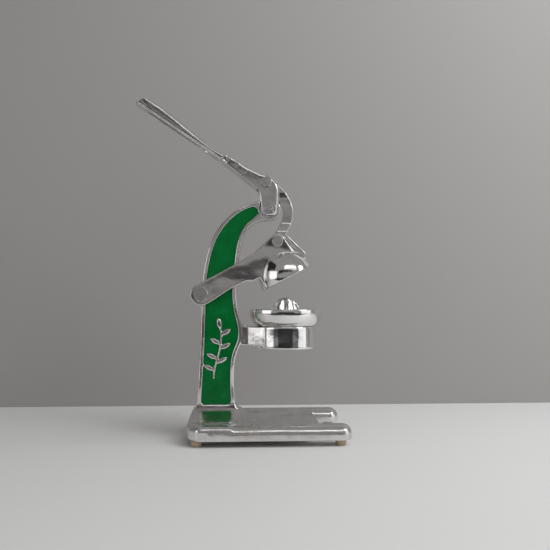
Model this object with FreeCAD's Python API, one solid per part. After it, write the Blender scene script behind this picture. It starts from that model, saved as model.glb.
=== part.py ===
import FreeCAD, Part
import math
import os

# Citrus press juicer, millimetres. +X is the front, where the glass stands, +Y is the far side of
# the column when the front is on the right, and +Z is up. The origin is on the table, under the
# middle of the whole press at rest.

V = FreeCAD.Vector
UP = V(0, 0, 1)
ACROSS = V(0, 1, 0)

# Motion. The lever turns forward and down, the presser arm closes on the strainer.
LEVER_TURN = 132.0
ARM_TURN = 28.25
LINK_TURN = 9.26          # how far the link has tilted, seen from the table, when the press is shut
STEPS = 44                # steps used where one part's path is cut out of another

# Pivots at rest, as (X, Z).
ARM_PIVOT = (-51.6, 194.3)      # presser arm on the column
HEAD_PIVOT = (41.6, 313.4)      # lever on the column's head
FORK_PIVOT = (36.4, 349.4)      # link in the lever's fork
FOOT_PIVOT = (52.0, 266.7)      # link's foot in the presser

# Fits.
RUN = 0.08                # radial clearance of a turning fit
SLIP = 0.15               # radial clearance of a bolt in a plain hole
GAP = 0.35                # side gap between parts that move past each other

# Hexagon bolts by shank radius: across flats, head height, nut height, washer thickness.
M8 = 4.0
M10 = 5.0
HARDWARE = {M8: (13.0, 5.3, 6.5, 1.6), M10: (17.0, 6.4, 8.0, 2.0)}
THREAD = 0.05             # radial clearance between a bolt and its nut
BOLT_END = 0.8            # chamfer on a bolt's end
FAR = 30.0                # more than any part's half-width, for cuts right through

# Column and collar.
COLUMN_HALF = 14.0
RECESS_DEPTH = 5.0
RIM = 5.5
ENAMEL_DEPTH = 3.4
HEAD_RADIUS = 15.5
HEAD_RECESS = 14.0        # the column is thinned inside this radius for the lever's fork
HEAD_HALF = 10.0
BOSS_RADIUS = 15.0
FOOT_TOP = 38.0           # height of the plinth that the column stands on
COLLAR_X = 64.0
COLLAR_RADIUS = 41.0
COLLAR_BORE = 36.6
COLLAR_BOTTOM = 120.0
COLLAR_TOP = 151.0

# Base.
FOOT_HEIGHT = 7.0
LEG_TOP = 27.0
LEG_HALF = 14.5
LEG_Y = 62.0
LEG_TIP = 146.2
BLOCK_REAR = -70.0
PLATE_FRONT = 106.0
PLATE_TOP = 24.5
WALL = 5.5
REAR_FOOT_X = -54.0
BUMPER_RADIUS = 7.4
SCREW_RADIUS = 1.7        # screws that hold the bumpers
SCREW_HEAD = 3.0
SCREW_SEAT = 3.2          # height of the seat for their heads
BOLT_PLACES = (-46.0, -14.0)    # bolts from under the base into the column
BOLT_SEAT = 17.0          # height of the seat for their washers
BOLT_SEAT_RADIUS = 9.5

# Presser, link and lever.
CHEEK_IN = 15.0
CHEEK_OUT = 22.0
CUP_RADIUS = 39.5
CUP_WALL = 4.0
CUP_RIM = -34.0           # rim height from the arm pivot when shut
LINK_HALF = 8.0
LINK_WIDTH = 14.0
FORK_GAP = 10.3
FORK_OUT = 17.0
HANDLE_ANGLE = 146.0      # handle's direction at rest, from +X towards +Z
NECK = (-26.0, 387.0)
HANDLE_LENGTH = 141.0


def at(pivot, y=0.0):
    """Point on a pivot's axis."""
    return V(pivot[0], y, pivot[1])


def stretch(points):
    """One stretch of an outline in the XZ plane: a line, or a smooth curve through three or more."""
    spots = [V(x, 0, z) for x, z in points]
    if len(spots) == 2:
        return Part.makeLine(spots[0], spots[1])
    curve = Part.BSplineCurve()
    curve.interpolate(spots)
    return curve.toShape()


def plate(stretches, y0, y1):
    """Solid between y0 and y1 with an outline made of stretches that follow each other."""
    wire = Part.Wire([stretch(points) for points in stretches])
    face = Part.Face(wire)
    face.translate(V(0, y0, 0))
    return face.extrude(V(0, y1 - y0, 0))


def lines(points):
    """Straight stretches from point to point."""
    return [points[i:i + 2] for i in range(len(points) - 1)]


def polygon(points, y0, y1):
    """Solid between y0 and y1 with straight sides."""
    return plate(lines(points + points[:1]), y0, y1)


def rod(pivot, radius, y0, y1):
    """Cylinder on a pivot's axis, from y0 to y1."""
    return Part.makeCylinder(radius, y1 - y0, at(pivot, y0), ACROSS)


def post(x, y, radius, z0, z1):
    """Upright cylinder."""
    return Part.makeCylinder(radius, z1 - z0, V(x, y, z0), UP)


def block(x0, x1, y0, y1, z0, z1):
    """Box between two corners."""
    return Part.makeBox(x1 - x0, y1 - y0, z1 - z0, V(x0, y0, z0))


def fused(shapes):
    """One shape from several."""
    return shapes[0].multiFuse(shapes[1:]).removeSplitter()


def mirrored(shape):
    """The same shape on the other side of the column's middle plane."""
    return shape.mirror(V(0, 0, 0), ACROSS)


def turned(shape, pivot, degrees):
    """Shape turned about a pivot, positive from +Z towards +X, as the lever closes."""
    copy = shape.copy()
    copy.rotate(at(pivot), ACROSS, degrees)
    return copy


def turned_point(point, pivot, degrees):
    """A point (X, Z) turned about a pivot in the same sense."""
    a = math.radians(degrees)
    x = point[0] - pivot[0]
    z = point[1] - pivot[1]
    return (pivot[0] + x * math.cos(a) + z * math.sin(a), pivot[1] - x * math.sin(a) + z * math.cos(a))


def offset(points, distance):
    """Points moved square to the curve through them, to the left of its direction."""
    moved = []
    last = len(points) - 1
    for i, (x, z) in enumerate(points):
        before = points[max(i - 1, 0)]
        after = points[min(i + 1, last)]
        dx = after[0] - before[0]
        dz = after[1] - before[1]
        length = math.hypot(dx, dz)
        moved.append((x - distance * dz / length, z + distance * dx / length))
    return moved


def softened(shape, radius, chosen):
    """Shape with a fillet on each edge that the test picks."""
    edges = [edge for edge in shape.Edges if chosen(edge)]
    return shape.makeFillet(radius, edges)


def level_at(z):
    """Test for edges that lie flat at one height."""
    return lambda edge: edge.BoundBox.ZLength < 0.01 and abs(edge.BoundBox.ZMin - z) < 0.01


def on_side(y):
    """Test for edges in the plane at one distance across."""
    return lambda edge: edge.BoundBox.YLength < 0.01 and abs(abs(edge.BoundBox.YMin) - y) < 0.01


# ---------------------------------------------------------------- fasteners


def hexagon(pivot, across_flats, y0, y1, outer):
    """Hexagon between y0 and y1, with its corners eased at the side named by outer, -1 or +1."""
    radius = across_flats / math.sqrt(3)
    corners = []
    for i in range(6):
        angle = math.radians(60 * i + 8)
        corners.append((pivot[0] + radius * math.cos(angle), pivot[1] + radius * math.sin(angle)))
    prism = polygon(corners, y0, y1)
    easing = 0.16 * across_flats
    disc = rod(pivot, radius, y0, y1)
    face_y = y0 if outer < 0 else y1
    disc = disc.makeChamfer(easing * 0.5, [e for e in disc.Edges
                                           if e.BoundBox.YLength < 0.01
                                           and abs(e.BoundBox.YMin - face_y) < 0.01])
    return prism.common(disc)


def bolt(pivot, shank, side, head_at, end_at):
    """Hexagon bolt across the press; side is the side of its head, and both places are unsigned."""
    flats, height = HARDWARE[shank][:2]
    head = hexagon(pivot, flats, *sorted((side * head_at, side * (head_at + height))), side)
    body = rod(pivot, shank, *sorted((side * (head_at + 0.5), -side * end_at)))
    tip = -side * end_at
    body = body.makeChamfer(BOLT_END, [e for e in body.Edges if e.BoundBox.YLength < 0.01
                                       and abs(e.BoundBox.YMin - tip) < 0.01])
    return fused([head, body])


def nut(pivot, shank, side, start):
    """Hexagon nut from start outwards on one side."""
    flats, _, height, _ = HARDWARE[shank]
    low, high = sorted((side * start, side * (start + height)))
    return hexagon(pivot, flats, low, high, side).cut(rod(pivot, shank + THREAD, low, high))


def washer_pair(pivot, shank, radius, start):
    """One washer on each side of the press."""
    end = start + HARDWARE[shank][3]
    one = rod(pivot, radius, start, end).cut(rod(pivot, shank + SLIP, start, end))
    return Part.makeCompound([one, mirrored(one)])


def pivot_set(name, pivot, shank, radius, side, start):
    """Washers, bolt and nut of one pivot by node name; start is where the washers begin."""
    outside = start + HARDWARE[shank][3]
    end = outside + HARDWARE[shank][2] + 3
    return {name + "_pivot_washers": washer_pair(pivot, shank, radius, start),
            name + "_pivot_bolt": bolt(pivot, shank, side, outside, end),
            name + "_pivot_nut": nut(pivot, shank, -side, outside)}


# ---------------------------------------------------------------- base


def leg(y, inset, z0, z1):
    """One leg of the base as an upright stadium, or its hollow when inset."""
    radius = LEG_HALF - inset
    tip = LEG_TIP - LEG_HALF
    bar = block(BLOCK_REAR + 30, tip, y - radius, y + radius, z0, z1)
    return fused([bar, post(tip, y, radius, z0, z1)])


def base():
    """U-shaped foot: rear block, two round-topped legs, plate between them and a hipped plinth."""
    pieces = []
    for side in (-1, 1):
        one = leg(side * LEG_Y, 0, FOOT_HEIGHT, LEG_TOP)
        pieces.append(softened(one, 12.5, level_at(LEG_TOP)))
    rear = rear_block(0, FOOT_HEIGHT, LEG_TOP)
    pieces.append(softened(rear, 8, level_at(LEG_TOP)))
    sheet = block(-20, PLATE_FRONT, -LEG_Y, LEG_Y, PLATE_TOP - 5, PLATE_TOP)
    pieces.append(sheet)
    pieces.append(plinth())
    shape = fused(pieces)

    hollow_top = PLATE_TOP - 5
    hollows = [leg(side * LEG_Y, WALL, 0, hollow_top) for side in (-1, 1)]
    hollows.append(rear_block(WALL, 0, hollow_top))
    hollow = fused(hollows)
    bosses = [post(x, y, 8.5, 0, hollow_top) for x, y in foot_places()]
    bosses += [post(x, 0, 13, 0, hollow_top) for x in BOLT_PLACES]
    shape = shape.cut(hollow.cut(fused(bosses)))
    for x, y in foot_places():
        shape = shape.cut(post(x, y, SCREW_RADIUS + SLIP, 0, 17))
    for x in BOLT_PLACES:
        shape = shape.cut(post(x, 0, M8 + SLIP, 0, FOOT_TOP + 1))
        shape = shape.cut(post(x, 0, BOLT_SEAT_RADIUS, 0, BOLT_SEAT))
    return shape


def rear_block(inset, z0, z1):
    """Block across the rear with canted corners, or its hollow when inset."""
    half = LEG_Y + LEG_HALF - 0.5 - inset
    rear = BLOCK_REAR + inset
    front = -6 - inset
    corners = [(front, -half), (rear + 17, -half), (rear + 5.5, 12 - half), (rear, 38 - half),
               (rear, half - 38), (rear + 5.5, half - 12), (rear + 17, half), (front, half)]
    spots = [V(x, y, z0) for x, y in corners]
    face = Part.Face(Part.makePolygon(spots + spots[:1]))
    shape = face.extrude(V(0, 0, z1 - z0))
    return softened(shape, 6, lambda edge: edge.BoundBox.ZLength > z1 - z0 - 0.01)


def plinth():
    """Hipped block that carries the column."""
    lower = Part.makePolygon([V(x, y, LEG_TOP - 5) for x, y in
                              ((-69, -58), (16, -58), (16, 58), (-69, 58), (-69, -58))])
    upper = Part.makePolygon([V(x, y, FOOT_TOP) for x, y in
                              ((-63, -17), (1, -17), (1, 17), (-63, 17), (-63, -17))])
    return Part.makeLoft([lower, upper], True, True)


def foot_places():
    """Centres of the four bumpers."""
    front = LEG_TIP - LEG_HALF
    return [(x, y) for x in (front, REAR_FOOT_X) for y in (-LEG_Y, LEG_Y)]


def bumper(x, y):
    """Bumper that a screw holds from below."""
    cone = Part.makeCone(BUMPER_RADIUS - 0.8, BUMPER_RADIUS, FOOT_HEIGHT, V(x, y, 0), UP)
    cone = softened(cone, 0.8, level_at(0))
    cone = cone.cut(post(x, y, SCREW_RADIUS + SLIP, 0, FOOT_HEIGHT))
    return cone.cut(post(x, y, SCREW_HEAD + 2 * SLIP, 0, SCREW_SEAT))


def foot_screw(x, y):
    """Pan-head screw in a bumper."""
    bottom = SCREW_SEAT - 2
    head = softened(post(x, y, SCREW_HEAD, bottom, SCREW_SEAT), 0.9, level_at(bottom))
    return fused([head, post(x, y, SCREW_RADIUS, SCREW_SEAT - 0.2, 15.5)])


def column_bolt(x):
    """Bolt from under the base into the column."""
    flats, height, _, thickness = HARDWARE[M8]
    head = hexagon((0, 0), flats, 0, height, -1)
    head.rotate(V(0, 0, 0), V(1, 0, 0), 90)
    head.translate(V(x, 0, BOLT_SEAT - thickness - height))
    return fused([head, post(x, 0, M8, BOLT_SEAT - 3, FOOT_TOP + 25)])


def column_washer(x):
    """Washer under a column bolt's head."""
    bottom = BOLT_SEAT - HARDWARE[M8][3]
    return post(x, 0, 8, bottom, BOLT_SEAT).cut(post(x, 0, M8 + SLIP, 0, BOLT_SEAT))


# ---------------------------------------------------------------- column

REAR_EDGE = [(-57.5, 43), (-56, 72), (-53.6, 120), (-52.2, 165), (-49.2, 226), (-44, 252),
             (-32.7, 280.5), (-19, 299), (-3, 312.5), (13, 320), (30, 324)]
FRONT_EDGE = [(40, 298), (30, 296.8), (18, 291.7), (9.4, 283), (3.4, 268), (0, 250), (-2.4, 228),
              (-4.6, 204), (-3.4, 182), (-1, 168), (3, 152), (3, 132), (-2.8, 116), (-6.2, 100),
              (-7.2, 78), (-5.6, 43)]


def column():
    """Column casting: curved neck, head boss, arm boss, collar ring and a recess on each side."""
    top = [REAR_EDGE[-1], FRONT_EDGE[0]]
    bottom = [FRONT_EDGE[-1], REAR_EDGE[0]]
    body = plate([REAR_EDGE, top, FRONT_EDGE, bottom], -COLUMN_HALF, COLUMN_HALF)
    body = softened(body, 1.6, lambda e: on_side(COLUMN_HALF)(e) and e.BoundBox.ZLength > 60)
    for side in (-1, 1):
        body = body.cut(fork_room(*sorted((side * HEAD_HALF, side * FAR))))
    pieces = [body]
    pieces.append(softened(rod(HEAD_PIVOT, HEAD_RADIUS, -HEAD_HALF, HEAD_HALF), 1.2, on_side(HEAD_HALF)))
    boss = rod(ARM_PIVOT, BOSS_RADIUS, -COLUMN_HALF, COLUMN_HALF)
    pieces.append(softened(boss, 1.2, on_side(COLUMN_HALF)))
    pieces.append(column_foot())
    pieces.append(collar_neck())
    shape = fused(pieces)
    for side in (-1, 1):
        shape = shape.cut(panel(0, side * (COLUMN_HALF - RECESS_DEPTH), side * 30))
        shape = fused([shape, sprig(0, side * (COLUMN_HALF - RECESS_DEPTH), side * (COLUMN_HALF - 0.6))])
    shape = shape.cut(post(COLLAR_X, 0, COLLAR_BORE, COLLAR_BOTTOM - 1, COLLAR_TOP + 1))
    shape = shape.cut(rod(HEAD_PIVOT, M8 + SLIP, -FAR, FAR))
    shape = shape.cut(rod(ARM_PIVOT, M10 + SLIP, -FAR, FAR))
    for x in BOLT_PLACES:
        shape = shape.cut(post(x, 0, M8 + SLIP, FOOT_TOP - 1, FOOT_TOP + 27))
    return shape


def fork_room(y0, y1):
    """Room beside the head for the lever's fork, with the corners it reaches open and shut."""
    open_corner = [(28.0, 330), (28.4, 322), (29.2, 316.5), (40, 316.5), (40, 330)]
    shut_corner = [(33.2, 303.1), (41.2, 294.2), (46, 294.2), (46, 303.1)]
    return fused([rod(HEAD_PIVOT, HEAD_RECESS, y0, y1), polygon(open_corner, y0, y1),
                  polygon(shut_corner, y0, y1)])


def column_foot():
    """Flared foot of the column, on the plinth."""
    lower = Part.makePolygon([V(x, y, FOOT_TOP) for x, y in
                              ((-60.5, -16.5), (-1, -16.5), (-1, 16.5), (-60.5, 16.5), (-60.5, -16.5))])
    upper = Part.makePolygon([V(x, y, FOOT_TOP + 7) for x, y in
                              ((-57.4, -14), (-5.7, -14), (-5.7, 14), (-57.4, 14), (-57.4, -14))])
    return Part.makeLoft([lower, upper], True, True)


def collar_neck():
    """Collar ring with the short neck that joins it to the column."""
    ring = post(COLLAR_X, 0, COLLAR_RADIUS, COLLAR_BOTTOM, COLLAR_TOP)
    ring = softened(ring, 1.4, lambda e: e.BoundBox.ZLength < 0.01)
    top = COLLAR_TOP - 0.6
    side = [[(-1, 126), (30, 122.5)], [(30, 122.5), (30, top)], [(30, top), (13, top)],
            [(13, top), (7, top + 2.2), (2, top + 8)], [(2, top + 8), (-1, top + 8)],
            [(-1, top + 8), (-1, 126)]]
    bridge = plate(side, -COLUMN_HALF + 1, COLUMN_HALF - 1)
    corners = [(4, -13), (12, -14), (32, -27), (32, 27), (12, 14), (4, 13)]
    flat = Part.makePolygon([V(x, y, 124.5) for x, y in corners + corners[:1]])
    wedge = Part.Face(flat).extrude(V(0, 0, top - 124.5))
    return fused([ring, bridge, wedge])


def panel(inset, y0, y1):
    """The recess on one side of the column, or its filling when inset."""
    rear = offset(REAR_EDGE[:-1], -RIM - inset)
    front = offset(FRONT_EDGE[2:], -RIM - inset)
    rear[0] = (rear[0][0], 45 + inset)
    front[-1] = (front[-1][0], 45 + inset)
    nose = (25.5 - inset, 309.5)
    end = [rear[-1], (nose[0] - 2, nose[1] + 4), nose, (nose[0] - 3.5, nose[1] - 7), front[0]]
    low, high = sorted((y0, y1))
    shape = plate([rear, end, front, [front[-1], rear[0]]], low, high)
    return softened(shape, 4, lambda e: e.BoundBox.YLength > high - low - 0.01
                    and e.BoundBox.ZMax < 46 + inset)


# ---------------------------------------------------------------- raised sprig

SPRIG_STEM = [(-35, 79), (-33, 95), (-28.5, 112), (-25, 130), (-26, 148)]
SPRIG_LEAVES = ((-34, 90, 150), (-31, 100, 30), (-30, 106, 152), (-26.5, 120, 28),
                (-25.5, 126, 150), (-25.5, 138, 34), (-26, 146, 100))
LEAF_LENGTH = 17.0
LEAF_WIDTH = 7.0


def leaf(x, z, angle, grow, y0, y1):
    """Pointed leaf from (x, z) outwards at an angle."""
    half = LEAF_LENGTH / 2
    bulge = LEAF_WIDTH / 2
    radius = (half * half + bulge * bulge) / (2 * bulge)
    middle = (half, 0)
    rods = [rod((middle[0], side * (radius - bulge)), radius + grow, y0, y1) for side in (-1, 1)]
    shape = rods[0].common(rods[1])
    shape.rotate(V(0, 0, 0), ACROSS, -angle)
    shape.translate(V(x, 0, z))
    return shape


def sprig(grow, y0, y1):
    """Raised sprig of leaves; grow widens it for the cut in the enamel."""
    low, high = sorted((y0, y1))
    half = 1.3 + grow
    left = offset(SPRIG_STEM, half)
    right = offset(SPRIG_STEM, -half)
    stem = plate([left, [left[-1], right[-1]], right[::-1], [right[0], left[0]]], low, high)
    pieces = [stem]
    for x, z, angle in SPRIG_LEAVES:
        pieces.append(leaf(x, z, angle, grow, low, high))
    return fused(pieces)


def enamel(side):
    """Coloured filling of one recess, open where the sprig stands."""
    inner = COLUMN_HALF - RECESS_DEPTH
    filling = panel(0.1, side * inner, side * (inner + ENAMEL_DEPTH))
    return filling.cut(sprig(0.1, side * (inner - 1), side * (COLUMN_HALF + 1)))


# ---------------------------------------------------------------- strainer and reamer

RIM_TOP = 174.5
RIM_RADIUS = 50.5
SEAT_RADIUS = 42.5
FLOOR_TOP = 156.5
BOWL_WALL = 3.0
SPIGOT_RADIUS = COLLAR_BORE - 0.5
SPIGOT_WALL = 3.0
SPIGOT_BOTTOM = 142.0
REAMER_TIP = 190.5
FLUTES = 9
FLUTE_RADIUS = 5.2
DRAIN_SLOTS = 12          # slots in the floor, between two radii
SLOT_START = 25.5
SLOT_END = 32.0
SLOT_HALF = 2.0


def turned_profile(stretches):
    """Solid of revolution about the collar's axis; the stretches are in (radius, height)."""
    edges = []
    for points in stretches:
        edges.append(stretch([(COLLAR_X + r, z) for r, z in points]))
    face = Part.Face(Part.Wire(edges))
    return face.revolve(V(COLLAR_X, 0, 0), UP, 360)


def strainer():
    """Flared cup on the collar, with a slotted floor and a fluted reamer in its middle."""
    seat = COLLAR_TOP + GAP
    inner = SPIGOT_RADIUS - SPIGOT_WALL
    outside = [(SEAT_RADIUS, seat + 0.6), (45.7, seat + 3.5), (48.7, seat + 8.5), (50.1, seat + 13.5),
               (RIM_RADIUS, RIM_TOP - 1)]
    inside = [(RIM_RADIUS - BOWL_WALL, RIM_TOP - 1), (46.9, RIM_TOP - 6), (45.4, RIM_TOP - 12),
              (42.7, FLOOR_TOP + 1.5), (39.5, FLOOR_TOP)]
    rim = [(RIM_RADIUS, RIM_TOP - 1), (RIM_RADIUS - BOWL_WALL / 2, RIM_TOP), inside[0]]
    below = [(0, FLOOR_TOP), (0, seat + 2), (inner, seat), (inner, SPIGOT_BOTTOM),
             (SPIGOT_RADIUS, SPIGOT_BOTTOM), (SPIGOT_RADIUS, seat), (SEAT_RADIUS - 0.6, seat),
             outside[0]]
    bowl = turned_profile([outside, rim, inside, [inside[-1], below[0]]] + lines(below))
    near = COLLAR_X + SLOT_START
    far = COLLAR_X + SLOT_END
    low = SPIGOT_BOTTOM
    high = FLOOR_TOP + 1
    for i in range(DRAIN_SLOTS):
        slot = fused([block(near, far, -SLOT_HALF, SLOT_HALF, low, high),
                      post(near, 0, SLOT_HALF, low, high), post(far, 0, SLOT_HALF, low, high)])
        slot.rotate(V(COLLAR_X, 0, 0), UP, 360 * i / DRAIN_SLOTS)
        bowl = bowl.cut(slot)
    return fused([bowl, reamer()])


def reamer():
    """Blunt fluted cone."""
    side = [(22.5, FLOOR_TOP - 1), (22, REAMER_TIP - 25), (19.5, REAMER_TIP - 15),
            (14, REAMER_TIP - 6), (6.5, REAMER_TIP - 1), (0, REAMER_TIP)]
    cone = turned_profile([side] + lines([side[-1], (0, FLOOR_TOP - 1), side[0]]))
    foot = V(COLLAR_X + 26.5, 0, FLOOR_TOP + 0.5)
    top = V(COLLAR_X + 10.5, 0, REAMER_TIP + 5)
    run = top.sub(foot)
    for i in range(FLUTES):
        groove = Part.makeCylinder(FLUTE_RADIUS, run.Length, foot, run)
        groove.rotate(V(COLLAR_X, 0, 0), UP, 360 * (i + 0.5) / FLUTES)
        cone = cone.cut(groove)
    return cone


# ---------------------------------------------------------------- presser


def shut(u, v):
    """Point of the presser, measured from the arm pivot when the press is shut."""
    return (ARM_PIVOT[0] + u, ARM_PIVOT[1] + v)


CUP_U = COLLAR_X - ARM_PIVOT[0]
SHUT_FOOT = turned_point(FOOT_PIVOT, ARM_PIVOT, ARM_TURN)
RIB_TOP = (141.0, 17.5)       # front rib, from beside the link's foot
FLANGE_TOP = (143.6, 7.0)     # front flange between the ribs, below the link's foot
FLANGE_END = (154.5, -23.0)


def ball(radius):
    """Ball on the cup's middle."""
    centre = shut(CUP_U, CUP_RIM)
    return Part.makeSphere(radius, V(centre[0], 0, centre[1]))


def cheek(y0, y1):
    """One side strap of the presser, from the arm pivot over the cup to the link's foot."""
    top = [shut(0, BOSS_RADIUS), shut(20, 14.6), shut(56, 14.8), shut(92, 18), shut(120, 25)]
    front = [shut(136, 12), shut(138, -6)]
    under = [shut(112, -30), shut(78, -33)]
    back = [shut(76, -31), shut(73, -22), shut(66, -14.5), shut(56, -12.2), shut(30, -12.6),
            shut(0, -BOSS_RADIUS)]
    strap = plate([top, [top[-1], front[0]], front, [front[-1], under[0]], under,
                   [under[-1], back[0]], back, [back[-1], top[0]]], y0, y1)
    return fused([strap, rod(ARM_PIVOT, BOSS_RADIUS, y0, y1), rod(SHUT_FOOT, 10.8, y0, y1)])


def bowl_room(centre):
    """Ring round the cup that stays clear for the strainer's wall."""
    ring = post(centre[0], 0, CUP_RADIUS + 20, centre[1] - 4, RIM_TOP + 2)
    return ring.cut(post(centre[0], 0, CUP_RADIUS + 0.9, centre[1] - 5, RIM_TOP + 3))


def presser():
    """Presser arm: two straps that straddle the column, the pressing cup and its ribbed front."""
    centre = shut(CUP_U, CUP_RIM)
    end = [shut(*FLANGE_END), shut(FLANGE_END[0] - 5, FLANGE_END[1])]
    flange = polygon([shut(FLANGE_TOP[0] - 3.4, FLANGE_TOP[1] - 0.9), shut(*FLANGE_TOP)] + end,
                     -CHEEK_OUT + 1, CHEEK_OUT - 1)
    cup = ball(CUP_RADIUS).cut(polygon([shut(0, CUP_RIM), shut(200, CUP_RIM), shut(200, -120),
                                        shut(0, -120)], -60, 60))
    lip = post(centre[0], 0, CUP_RADIUS, centre[1] - 2.0, centre[1])
    pieces = [cup, lip, flange]
    for side in (-1, 1):
        pieces.append(cheek(*sorted((side * CHEEK_IN, side * CHEEK_OUT))))
        rib = [shut(RIB_TOP[0] - 3.6, RIB_TOP[1] - 0.6), shut(*RIB_TOP)] + end
        pieces.append(polygon(rib, *sorted((side * CHEEK_IN, side * (CHEEK_OUT - 1)))))
        web = [shut(124, 14), rib[0], end[1], shut(128, -20)]
        pieces.append(polygon(web, *sorted((side * CHEEK_IN, side * (CHEEK_IN + 3)))))
    shape = fused(pieces)
    shape = shape.cut(bowl_room(centre))
    shape = shape.cut(ball(CUP_RADIUS - CUP_WALL))
    shape = shape.cut(post(centre[0], 0, CUP_RADIUS - CUP_WALL, centre[1] - 30, centre[1]))
    shape = shape.cut(rod(ARM_PIVOT, M10 + RUN, -FAR, FAR))
    shape = shape.cut(rod(SHUT_FOOT, M8 + SLIP, -FAR, FAR))
    return turned(shape, ARM_PIVOT, -ARM_TURN)


# ---------------------------------------------------------------- link

LINK_LINE = [FORK_PIVOT, (50.4, 341.5), (59.5, 331), (65.3, 320.5), (67.6, 309.5), (66.6, 299.5),
             (62, 288), FOOT_PIVOT]
FOOT_HALF = CHEEK_IN - 0.7
FOOT_RADIUS = 9.5
HOOK_ROOM = 0.5           # room round the presser's bolt in the hooked foot


def foot_bolt_path():
    """Places of the presser's bolt seen from the link, while the lever closes."""
    places = []
    for i in range(STEPS + 1):
        part = i / STEPS
        spot = turned_point(FOOT_PIVOT, ARM_PIVOT, ARM_TURN * part)
        carried = turned_point(FORK_PIVOT, HEAD_PIVOT, LEVER_TURN * part)
        spot = (spot[0] - carried[0] + FORK_PIVOT[0], spot[1] - carried[1] + FORK_PIVOT[1])
        places.append(turned_point(spot, FORK_PIVOT, -LINK_TURN * part))
    return places


def link():
    """Bowed link: round eye in the lever's fork, wide hooked foot between the presser's straps."""
    outer = offset(LINK_LINE, LINK_WIDTH / 2)
    inner = offset(LINK_LINE, -LINK_WIDTH / 2)
    bar = plate([outer, [outer[-1], inner[-1]], inner[::-1], [inner[0], outer[0]]], -FOOT_HALF, FOOT_HALF)
    shape = fused([bar, rod(FORK_PIVOT, 10.5, -FOOT_HALF, FOOT_HALF),
                   rod(FOOT_PIVOT, FOOT_RADIUS, -FOOT_HALF, FOOT_HALF)])
    eye_half = FORK_GAP - GAP
    half_front = [(eye_half, 380), (eye_half, 337), (LINK_HALF, 329), (LINK_HALF, 293),
                  (FOOT_HALF, 282), (FOOT_HALF, 240)]
    outline = half_front + [(-y, z) for y, z in reversed(half_front)]
    corners = [V(0, y, z) for y, z in outline]
    sieve = Part.Face(Part.makePolygon(corners + corners[:1])).extrude(V(120, 0, 0))
    shape = shape.common(sieve)
    for place in foot_bolt_path():
        shape = shape.cut(rod(place, M8 + HOOK_ROOM, -FAR, FAR))
    return shape.cut(rod(FORK_PIVOT, M8 + RUN, -FAR, FAR))


# ---------------------------------------------------------------- lever


def along(s, n):
    """Point of the lever: s along the handle from its neck, n square to it, upwards."""
    a = math.radians(HANDLE_ANGLE)
    return (NECK[0] + s * math.cos(a) + n * math.sin(a), NECK[1] + s * math.sin(a) - n * math.cos(a))


def handle_section(s, half_width, top, shoulder, side, lean=0.0):
    """Cross-section of the handle as a closed wire; side is (width, height) down one side."""
    bottom = side[-1][1]

    def spot(y, n):
        x, z = along(s - lean * (n - bottom), n)
        return V(x, y, z)
    arch = Part.Arc(spot(-half_width, shoulder), spot(0, top), spot(half_width, shoulder)).toShape()
    right = [spot(half_width + y, n) for y, n in side]
    left = [spot(-half_width - y, n) for y, n in reversed(side)]
    corners = [spot(half_width, shoulder)] + right + left + [spot(-half_width, shoulder)]
    return Part.Wire([arch] + Part.makePolygon(corners).Edges)


HANDLE_HALF = 10.0
HANDLE_WALL = 3.0
HANDLE_BOTTOM = -5.6
HANDLE_TOPS = [(12, 3.6), (24, 3.7), (43, 5.4), (67, 7.7), (90, 9.6), (112, 10.7)]
GROOVE_DEPTH = 1.8
LIP = 0.7                 # how far the bottom lip stands out


def grooved_side(bottom):
    """Side of the handle: a wall, a groove along its foot and a lip."""
    return [(0, bottom + 5.0), (-GROOVE_DEPTH, bottom + 3.6), (LIP, bottom + 2.2), (LIP, bottom)]


def handle():
    """Handle: a channel, open below, that deepens towards a slanted end."""
    side = grooved_side(HANDLE_BOTTOM)
    sections = [handle_section(-12, 13, 6.6, 4.6, grooved_side(HANDLE_BOTTOM - 1))]
    for s, top in HANDLE_TOPS:
        sections.append(handle_section(s, HANDLE_HALF, top, top - 2.4, side))
    end_side = grooved_side(HANDLE_BOTTOM - 0.6)
    sections.append(handle_section(HANDLE_LENGTH, HANDLE_HALF + 1, 10.6, 7.8, end_side, 0.55))
    solid = Part.makeLoft(sections, True, False)
    inner = HANDLE_HALF - HANDLE_WALL
    below = [(0, -20)]
    hollows = [handle_section(20, inner - 1.5, -2.0, -3.4, below)]
    for s, top in HANDLE_TOPS[2:]:
        hollows.append(handle_section(s, inner, top - 4.0, top - 6.0, below))
    hollows.append(handle_section(HANDLE_LENGTH - 17, inner, 6.0, 4.0, below))
    return solid.cut(Part.makeLoft(hollows, True, False))


def facet(start, end, width):
    """Pair of wedges that cant the fork's upper edges along a line from start to end."""
    dx = end[0] - start[0]
    dz = end[1] - start[1]
    length = math.hypot(dx, dz)
    corners = []
    for y, n in ((FORK_OUT + 1, 1), (FORK_OUT + 1, -width - 1), (FORK_OUT - width - 1, 1)):
        corners.append(V(start[0] - n * dz / length, y, start[1] + n * dx / length))
    wedge = Part.Face(Part.makePolygon(corners + corners[:1])).extrude(V(dx, 0, dz))
    return fused([wedge, mirrored(wedge)])


FORK_TOP = (0.8, 377)
FORK_NOSE = [(31, 362.4), (44.5, 357.8), (53, 348), (55.2, 334), (54.4, 318), (51.5, 306.5), (42, 302)]
FORK_EASE = 3.5           # bevel round the fork's nose and along its top


def fork_wire(inset, y):
    """Outline of the fork at one distance across, its nose moved in by the inset."""
    nose = offset(FORK_NOSE, -inset)
    top = [along(-4, 5.8), FORK_TOP, nose[0]]
    heel = [nose[-1], (32.5, 307), (29.6, 318), (28.6, 330), (24.4, 341)]
    belly = [heel[-1], (7.6, 354.5), along(-4, -5.8)]
    wire = Part.Wire([stretch(points) for points in (top, nose, heel, belly, [belly[-1], top[0]])])
    wire.translate(V(0, y, 0))
    return wire


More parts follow.
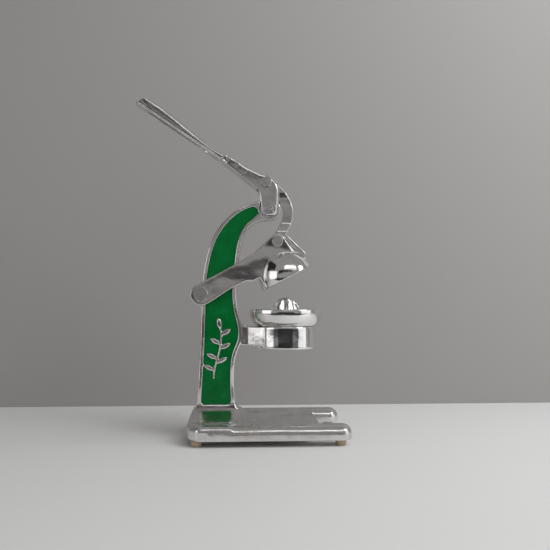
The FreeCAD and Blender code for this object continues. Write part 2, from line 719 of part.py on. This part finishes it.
def lever():
    """Lever casting: fork on the column's head and round the link, and the handle."""
    flat = FORK_OUT - FORK_EASE
    fork = Part.makeLoft([fork_wire(FORK_EASE, -FORK_OUT), fork_wire(0, -flat), fork_wire(0, flat),
                          fork_wire(FORK_EASE, FORK_OUT)], True, True)
    plan = []
    for s, half in ((10, 11), (-8, 11.6), (-30, 15.5), (-44, FORK_OUT), (-140, FORK_OUT)):
        plan.append((s, half))
    ring = plan + [(s, -half) for s, half in reversed(plan)]
    corners = []
    for s, half in ring:
        x, z = along(s, -90)
        corners.append(V(x, half, z))
    depth = V(along(0, 180)[0] - along(0, 0)[0], 0, along(0, 180)[1] - along(0, 0)[1])
    fork = fork.common(Part.Face(Part.makePolygon(corners + corners[:1])).extrude(depth))
    fork = fork.cut(facet(FORK_TOP, FORK_NOSE[0], FORK_EASE))
    slot = fused([rod(FORK_PIVOT, 14.5, -FORK_GAP, FORK_GAP),
                  block(24.5, 80, -FORK_GAP, FORK_GAP, 280, 400)])
    shape = fused([fork.cut(slot), handle()])
    shape = shape.cut(rod(HEAD_PIVOT, M8 + RUN, -FAR, FAR))
    return shape.cut(rod(FORK_PIVOT, M8 + SLIP, -FAR, FAR))


# ---------------------------------------------------------------- everything


def parts():
    """Every sub-part by its node name."""
    nodes = {}
    nodes["base"] = base()
    places = dict(zip(("front_near", "front_far", "rear_near", "rear_far"), foot_places()))
    for name, (x, y) in places.items():
        nodes["foot_" + name] = bumper(x, y)
    nodes["foot_screws"] = Part.makeCompound([foot_screw(x, y) for x, y in places.values()])
    nodes["column"] = column()
    nodes["column_bolts"] = Part.makeCompound([column_bolt(x) for x in BOLT_PLACES])
    nodes["column_washers"] = Part.makeCompound([column_washer(x) for x in BOLT_PLACES])
    nodes["enamel_near"] = enamel(-1)
    nodes["enamel_far"] = enamel(1)
    nodes["strainer"] = strainer()

    nodes["presser"] = presser()
    nodes["lever"] = lever()
    nodes["link"] = link()
    nodes.update(pivot_set("arm", ARM_PIVOT, M10, 10.0, -1, CHEEK_OUT + GAP))
    nodes.update(pivot_set("head", HEAD_PIVOT, M8, 8.0, 1, FORK_OUT + GAP))
    nodes.update(pivot_set("fork", FORK_PIVOT, M8, 8.0, -1, FORK_OUT))
    nodes.update(pivot_set("foot", FOOT_PIVOT, M8, 7.5, -1, CHEEK_OUT))
    return nodes


def main():
    os.makedirs("parts", exist_ok=True)
    for name, shape in parts().items():
        shape.exportStep("parts/" + name + ".step")


main()
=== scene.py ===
import math

import bmesh
import bpy
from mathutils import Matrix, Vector


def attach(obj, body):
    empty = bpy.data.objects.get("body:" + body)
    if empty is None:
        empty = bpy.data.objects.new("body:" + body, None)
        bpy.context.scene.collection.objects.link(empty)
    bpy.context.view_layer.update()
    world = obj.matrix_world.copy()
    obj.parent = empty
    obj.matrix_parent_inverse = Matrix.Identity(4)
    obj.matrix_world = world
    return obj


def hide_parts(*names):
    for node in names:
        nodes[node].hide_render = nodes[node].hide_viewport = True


# Looks for the citrus press, in metres. The castings of the CAD model are shown as soft, hand-polished
# copies made from the same shapes. The nuts, bolts, washers, bumpers and enamel stay the CAD pieces,
# and the nuts, bolts and washers get small eased edges.

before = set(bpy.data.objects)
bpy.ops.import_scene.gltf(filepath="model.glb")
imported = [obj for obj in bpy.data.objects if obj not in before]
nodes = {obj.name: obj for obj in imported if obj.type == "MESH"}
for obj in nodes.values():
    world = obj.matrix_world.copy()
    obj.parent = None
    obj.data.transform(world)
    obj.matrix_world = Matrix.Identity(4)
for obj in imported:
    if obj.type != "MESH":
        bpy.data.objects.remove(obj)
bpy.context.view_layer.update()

# Each casting: its body, the size of its remeshing cells in metres, and its smoothing passes.
CASTINGS = {
    "base": ("frame", 0.00115, 16),
    "column": ("frame", 0.00085, 9),
    "lever": ("lever", 0.00060, 32),
    "link": ("link", 0.00060, 24),
    "presser": ("presser", 0.00075, 16),
    "strainer": ("strainer", 0.00070, 4),
}
WELD = 2e-6             # distance within which split vertices are joined again

# Where the brighter metal is: the collar, between two heights round its axis, and the press cup, round
# its centre at rest.
COLLAR_X = 0.064
COLLAR_REACH = 0.0425
COLLAR_LOW = 0.119
COLLAR_HIGH = 0.152
CUP_CENTRE = Vector((0.0663, 0, 0.2191))
CUP_REACH = 0.0402

ENAMELS = ("enamel_near", "enamel_far")
BUMPERS = ("foot_front_near", "foot_front_far", "foot_rear_near", "foot_rear_far")
WARM_TINT = (1.0, 0.955, 0.935)
RUBBING = 0.00005       # depth of the polished metal's rubbing marks
EASE = 0.00025          # width of the eased edges on nuts, bolts and washers

# ---------------------------------------------------------------- node materials


class Nodes:
    """A small helper that builds one material's node tree."""

    def __init__(self, name):
        self.material = bpy.data.materials.new(name)
        self.material.use_nodes = True
        self.tree = self.material.node_tree
        self.shader = self.tree.nodes["Principled BSDF"]
        self.place = self.tree.nodes.new("ShaderNodeTexCoord").outputs["Object"]

    def link(self, output, socket):
        self.tree.links.new(output, socket)

    def noise(self, scale, detail=3.0, rough=0.5, stretch=(1, 1, 1)):
        """Noise value at an object's own coordinates, in features per metre."""
        mapping = self.tree.nodes.new("ShaderNodeMapping")
        mapping.inputs["Scale"].default_value = stretch
        self.link(self.place, mapping.inputs["Vector"])
        node = self.tree.nodes.new("ShaderNodeTexNoise")
        node.inputs["Scale"].default_value = scale
        node.inputs["Detail"].default_value = detail
        node.inputs["Roughness"].default_value = rough
        self.link(mapping.outputs["Vector"], node.inputs["Vector"])
        return node.outputs["Fac"]

    def ranged(self, value, low, high, to_low, to_high):
        """Value moved from one range to another, and held inside it."""
        node = self.tree.nodes.new("ShaderNodeMapRange")
        node.inputs["From Min"].default_value = low
        node.inputs["From Max"].default_value = high
        node.inputs["To Min"].default_value = to_low
        node.inputs["To Max"].default_value = to_high
        self.link(value, node.inputs["Value"])
        return node.outputs["Result"]

    def mixed(self, factor, first, second):
        """Two colours, each an RGB triple or a socket, mixed by a socket."""
        node = self.tree.nodes.new("ShaderNodeMix")
        node.data_type = "RGBA"
        self.link(factor, node.inputs["Factor"])
        sockets = [s for s in node.inputs if s.type == "RGBA"]
        for socket, colour in zip(sockets, (first, second)):
            if isinstance(colour, tuple):
                socket.default_value = colour + (1.0,)
            else:
                self.link(colour, socket)
        return [s for s in node.outputs if s.type == "RGBA"][0]

    def bump(self, height, distance, strength, before=None):
        """A bump on top of an earlier one."""
        node = self.tree.nodes.new("ShaderNodeBump")
        node.inputs["Distance"].default_value = distance
        node.inputs["Strength"].default_value = strength
        self.link(height, node.inputs["Height"])
        if before is not None:
            self.link(before, node.inputs["Normal"])
        return node.outputs["Normal"]


def polished(name, colour, dull, rough, waves, ripples):
    """Hand-polished aluminium: bright metal with waves, ripples, hazy patches and rubbing marks."""
    n = Nodes(name)
    haze = n.noise(34, 4.0, 0.6)
    tint = n.noise(22, 2.0, 0.5)
    warm = tuple(c * t for c, t in zip(dull, WARM_TINT))
    hazy = n.mixed(n.ranged(tint, 0.42, 0.62, 0, 1), dull, warm)
    n.link(n.mixed(n.ranged(haze, 0.36, 0.66, 0, 1), colour, hazy), n.shader.inputs["Base Color"])
    n.link(n.ranged(haze, 0.34, 0.68, rough[0], rough[1]), n.shader.inputs["Roughness"])
    n.shader.inputs["Metallic"].default_value = 1.0
    wave = n.bump(n.noise(20, 1.0, 0.3), waves, 1.0)
    ripple = n.bump(n.noise(110, 2.0, 0.5), ripples, 1.0, wave)
    rub = n.bump(n.noise(420, 3.0, 0.6, (1.0, 1.0, 0.16)), RUBBING, 0.5, ripple)
    n.link(rub, n.shader.inputs["Normal"])
    return n.material


def enamel():
    """Glossy poured enamel with cloudy depth and small pits."""
    n = Nodes("green_enamel")
    cloud = n.noise(34, 5.0, 0.65)
    grain = n.noise(900, 2.0, 0.6)
    deep = n.mixed(n.ranged(cloud, 0.38, 0.68, 0, 1), (0.0, 0.115, 0.020), (0.0, 0.165, 0.036))
    flecks = n.mixed(n.ranged(grain, 0.66, 0.74, 0, 0.55), deep, (0.03, 0.30, 0.10))
    n.link(flecks, n.shader.inputs["Base Color"])
    n.link(n.ranged(cloud, 0.3, 0.7, 0.16, 0.30), n.shader.inputs["Roughness"])
    n.shader.inputs["Specular IOR Level"].default_value = 0.12
    n.shader.inputs["Coat Weight"].default_value = 0.08
    n.shader.inputs["Coat Roughness"].default_value = 0.10
    wave = n.bump(n.noise(60, 3.0, 0.5), 0.0008, 0.45)
    pits = n.bump(n.ranged(n.noise(420, 2.0, 0.5), 0.30, 0.42, 0, 1), 0.0002, 0.5, wave)
    n.link(pits, n.shader.inputs["Normal"])
    return n.material


def rubber():
    """Beige moulded rubber."""
    n = Nodes("beige_rubber")
    grain = n.noise(700, 3.0, 0.6)
    n.link(n.mixed(grain, (0.42, 0.33, 0.22), (0.58, 0.48, 0.34)), n.shader.inputs["Base Color"])
    n.link(n.ranged(grain, 0.3, 0.7, 0.55, 0.75), n.shader.inputs["Roughness"])
    n.link(n.bump(grain, 0.0002, 0.4), n.shader.inputs["Normal"])
    return n.material


def plated():
    """Bright zinc-plated steel."""
    n = Nodes("plated_steel")
    cloud = n.noise(160, 4.0, 0.6)
    n.link(n.mixed(cloud, (0.56, 0.56, 0.56), (0.74, 0.73, 0.71)), n.shader.inputs["Base Color"])
    n.link(n.ranged(cloud, 0.3, 0.7, 0.20, 0.38), n.shader.inputs["Roughness"])
    n.shader.inputs["Metallic"].default_value = 1.0
    n.link(n.bump(n.noise(900, 3.0, 0.6), 0.0001, 0.25), n.shader.inputs["Normal"])
    return n.material


def plain(name, colour, rough):
    """Plain stage paint."""
    n = Nodes(name)
    soft = n.noise(9, 2.0, 0.5)
    low = tuple(c * 0.985 for c in colour)
    n.link(n.mixed(soft, low, colour), n.shader.inputs["Base Color"])
    n.shader.inputs["Roughness"].default_value = rough
    return n.material


def cover(thing, material):
    """Give every face of an object one material."""
    thing.data.materials.clear()
    thing.data.materials.append(material)


# ---------------------------------------------------------------- pieces


def modified(thing):
    """Mesh of an object with its modifiers applied."""
    graph = bpy.context.evaluated_depsgraph_get()
    return bpy.data.meshes.new_from_object(thing.evaluated_get(graph))


def welded_copy(node):
    """Closed mesh of a CAD node, its split vertices joined again."""
    mesh = nodes[node].data.copy()
    shape = bmesh.new()
    shape.from_mesh(mesh)
    bmesh.ops.remove_doubles(shape, verts=shape.verts, dist=WELD)
    shape.to_mesh(mesh)
    shape.free()
    return mesh


def soft_casting(node, body, cell, passes):
    """A casting with soft polished edges in place of a CAD node."""
    piece = bpy.data.objects.new(node + "_casting", welded_copy(node))
    bpy.context.scene.collection.objects.link(piece)
    remesh = piece.modifiers.new("cells", "REMESH")
    remesh.mode = "VOXEL"
    remesh.voxel_size = cell * 1.0
    smooth = piece.modifiers.new("polish", "SMOOTH")
    smooth.factor = 0.5
    smooth.iterations = passes
    rough_mesh = piece.data
    piece.data = modified(piece)
    piece.modifiers.clear()
    bpy.data.meshes.remove(rough_mesh)
    for face in piece.data.polygons:
        face.use_smooth = True
    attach(piece, body)
    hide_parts(node)
    return piece


def polish_where(piece, material, chosen):
    """Give the faces of a casting that the test picks, by their centres, a brighter material."""
    piece.data.materials.append(material)
    for face in piece.data.polygons:
        if chosen(face.center):
            face.material_index = 1


def on_collar(spot):
    """Test for a place on the collar ring."""
    near_axis = math.hypot(spot.x - COLLAR_X, spot.y) < COLLAR_REACH
    return near_axis and COLLAR_LOW < spot.z < COLLAR_HIGH


def on_cup(spot):
    """Test for a place on the presser's cup, which is part of a ball."""
    reach = (spot - CUP_CENTRE).length
    return reach < CUP_REACH


def eased(node):
    """Small rounded edges on a CAD node, for highlights."""
    thing = nodes[node]
    weld = thing.modifiers.new("weld", "WELD")
    weld.merge_threshold = WELD
    bevel = thing.modifiers.new("ease", "BEVEL")
    bevel.width = EASE
    bevel.segments = 2
    bevel.limit_method = "ANGLE"
    bevel.angle_limit = math.radians(35)


# ---------------------------------------------------------------- stage, light, camera

FLOOR = -0.0002         # height of the table, just under the bumpers
STAGE_HALF = 2.5        # half the width of the table and the wall, and the table's front
WALL_TOP = 2.4
WALL_Y = 0.255
DAYLIGHT = 19           # watts
ROOM = 0.92             # strength of the room all round

# Each window: its place, width, height and brightness.
WINDOWS = (
    ("window_right", (1.30, -0.60, 0.32), 0.9, 0.6, 0.75),
    ("window_key", (1.05, -0.62, 0.88), 0.5, 0.42, 5.0),
    ("window_left", (-1.25, -0.65, 0.40), 0.9, 0.70, 1.0),
    ("window_high", (0.35, -1.5, 1.35), 1.1, 0.4, 1.3),
)

LIT_PLACE = (0.03, 0, 0.24)     # the middle of the press, which the lights face
CAMERA_PLACE = (0.0035, -0.880, 0.184)
CAMERA_TURN = 3.0       # degrees towards +X
CAMERA_TILT = 2.46      # degrees up
CAMERA_LENS = 41.2      # millimetres, on the sensor below
SENSOR = 36

# Painted shade, by the corners of each sheet: near-black sheets that only the metal's reflections see,
# standing in for the unlit room and darkening the table in front, which give the polished metal its
# contrast.
SHADE_CARDS = {
    "shade_floor": [(-2.4, -2.4, 0.002), (2.4, -2.4, 0.002), (2.4, -0.66, 0.002), (-2.4, -0.66, 0.002)],
    "shade_room": [(-0.8, -1.6, 0), (0.8, -1.6, 0), (0.8, -1.6, 0.15), (-0.8, -1.6, 0.15)],
    "shade_shelf": [(-1.3, -1.6, 0.70), (0.4, -1.6, 0.78), (0.4, -1.6, 0.96), (-1.3, -1.6, 1.15)],
    "shade_left": [(-1.5, -1.0, 0.80), (-1.5, 0.2, 0.60), (-1.5, 0.2, 1.7), (-1.5, -1.0, 1.7)],
}


def swept_sheet(name, profile):
    """Sheet that follows a profile of (Y, Z) points, as wide as the stage."""
    mesh = bpy.data.meshes.new(name)
    shape = bmesh.new()
    rows = []
    for y, z in profile:
        rows.append([shape.verts.new((x, y, z)) for x in (-STAGE_HALF, STAGE_HALF)])
    for near, far in zip(rows, rows[1:]):
        shape.faces.new((near[0], near[1], far[1], far[0]))
    shape.to_mesh(mesh)
    shape.free()
    sheet = bpy.data.objects.new(name, mesh)
    bpy.context.scene.collection.objects.link(sheet)
    return sheet


def stage():
    """Pale table, a plain wall behind it, and near-black sheets of painted shade for the metal's
    reflections.
    """
    table = swept_sheet("table_top", [(-STAGE_HALF, FLOOR), (WALL_Y, FLOOR)])
    cover(table, plain("pale_table", (0.70, 0.70, 0.70), 0.45))
    wall = swept_sheet("wall", [(WALL_Y, FLOOR), (WALL_Y, WALL_TOP)])
    cover(wall, plain("grey_wall", (0.345, 0.340, 0.333), 0.8))
    see_through_behind(wall.data.materials[0])
    for name, corners in SHADE_CARDS.items():
        shade_card(name, corners)


def see_through_behind(material):
    """A wall that shows only from its front, so that it doesn't hide the press from behind."""
    tree = material.node_tree
    out = tree.nodes["Material Output"]
    shader = tree.nodes["Principled BSDF"]
    clear = tree.nodes.new("ShaderNodeBsdfTransparent")
    side = tree.nodes.new("ShaderNodeNewGeometry")
    mix = tree.nodes.new("ShaderNodeMixShader")
    tree.links.new(side.outputs["Backfacing"], mix.inputs["Fac"])
    tree.links.new(shader.outputs["BSDF"], mix.inputs[1])
    tree.links.new(clear.outputs["BSDF"], mix.inputs[2])
    tree.links.new(mix.outputs["Shader"], out.inputs["Surface"])


def shade_card(name, corners):
    """Near-black sheet of painted shade that only the metal's reflections see."""
    mesh = bpy.data.meshes.new(name)
    mesh.from_pydata(corners, [], [(0, 1, 2, 3)])
    card = bpy.data.objects.new(name, mesh)
    bpy.context.scene.collection.objects.link(card)
    # near-black colour: painted shade, seen only in the metal's reflections
    cover(card, plain(name, (0.02, 0.02, 0.02), 0.9))
    card.visible_camera = False
    card.visible_diffuse = False
    card.visible_transmission = False
    card.visible_shadow = False


def softbox(name, place, width, height, watts):
    """Rectangular light that faces the press."""
    lamp = bpy.data.lights.new(name, "AREA")
    lamp.shape = "RECTANGLE"
    lamp.size = width
    lamp.size_y = height
    lamp.energy = watts
    thing = bpy.data.objects.new(name, lamp)
    bpy.context.scene.collection.objects.link(thing)
    thing.location = place
    away = Vector(place) - Vector(LIT_PLACE)
    thing.rotation_euler = away.to_track_quat("Z", "Y").to_euler()
    return thing


def studio_light():
    """Soft daylight from above and the right, with dim windows for the metal to reflect."""
    daylight = softbox("daylight", (1.0, -0.4, 1.5), 1.3, 1.1, DAYLIGHT)
    daylight.visible_glossy = False
    for name, place, width, height, glow in WINDOWS:
        softbox(name, place, width, height, glow * math.pi * width * height)
    world = bpy.data.worlds.new("room")
    world.use_nodes = True
    back = world.node_tree.nodes["Background"]
    back.inputs["Color"].default_value = (0.30, 0.295, 0.29, 1.0)
    back.inputs["Strength"].default_value = ROOM
    bpy.context.scene.world = world
    bpy.context.scene.view_settings.view_transform = "Standard"


def camera():
    """Camera about level with the arm pivot, turned slightly to the front and up."""
    data = bpy.data.cameras.new("view")
    data.lens = CAMERA_LENS
    data.sensor_width = SENSOR
    data.clip_start = 0.01
    thing = bpy.data.objects.new("view", data)
    bpy.context.scene.collection.objects.link(thing)
    thing.location = CAMERA_PLACE
    thing.rotation_euler = (math.radians(90 + CAMERA_TILT), 0, math.radians(-CAMERA_TURN))
    bpy.context.scene.camera = thing


# ---------------------------------------------------------------- build

# Each metal: its bright and its hazy colour, its range of roughness, and its waves' and ripples' depths.
cast = polished("cast_aluminium", (0.78, 0.775, 0.775), (0.66, 0.65, 0.64), (0.14, 0.30), 0.0022, 0.0002)
hand = polished("hand_polished", (0.82, 0.81, 0.81), (0.70, 0.68, 0.67), (0.16, 0.28), 0.0095, 0.0002)
cup = polished("bright_cup", (0.86, 0.86, 0.86), (0.76, 0.75, 0.75), (0.07, 0.16), 0.0060, 0.0003)
mirror = polished("mirror_aluminium", (0.88, 0.88, 0.88), (0.82, 0.82, 0.82), (0.08, 0.15), 0.0030, 0.0001)
arm = polished("lever_aluminium", (0.84, 0.83, 0.83), (0.68, 0.66, 0.65), (0.12, 0.24), 0.0045, 0.0002)
METALS = {"base": cast, "column": arm, "lever": arm, "link": hand, "presser": hand, "strainer": mirror}
steel = plated()
green = enamel()
beige = rubber()

for node, (body, cell, passes) in CASTINGS.items():
    piece = soft_casting(node, body, cell, passes)
    cover(piece, METALS[node])
    if node == "column":
        polish_where(piece, mirror, on_collar)
    if node == "presser":
        polish_where(piece, cup, on_cup)

for node, thing in nodes.items():
    if node in CASTINGS:
        continue
    if node in ENAMELS:
        cover(thing, green)
    elif node in BUMPERS:
        cover(thing, beige)
    else:
        cover(thing, steel)
        eased(node)

stage()
studio_light()
camera()
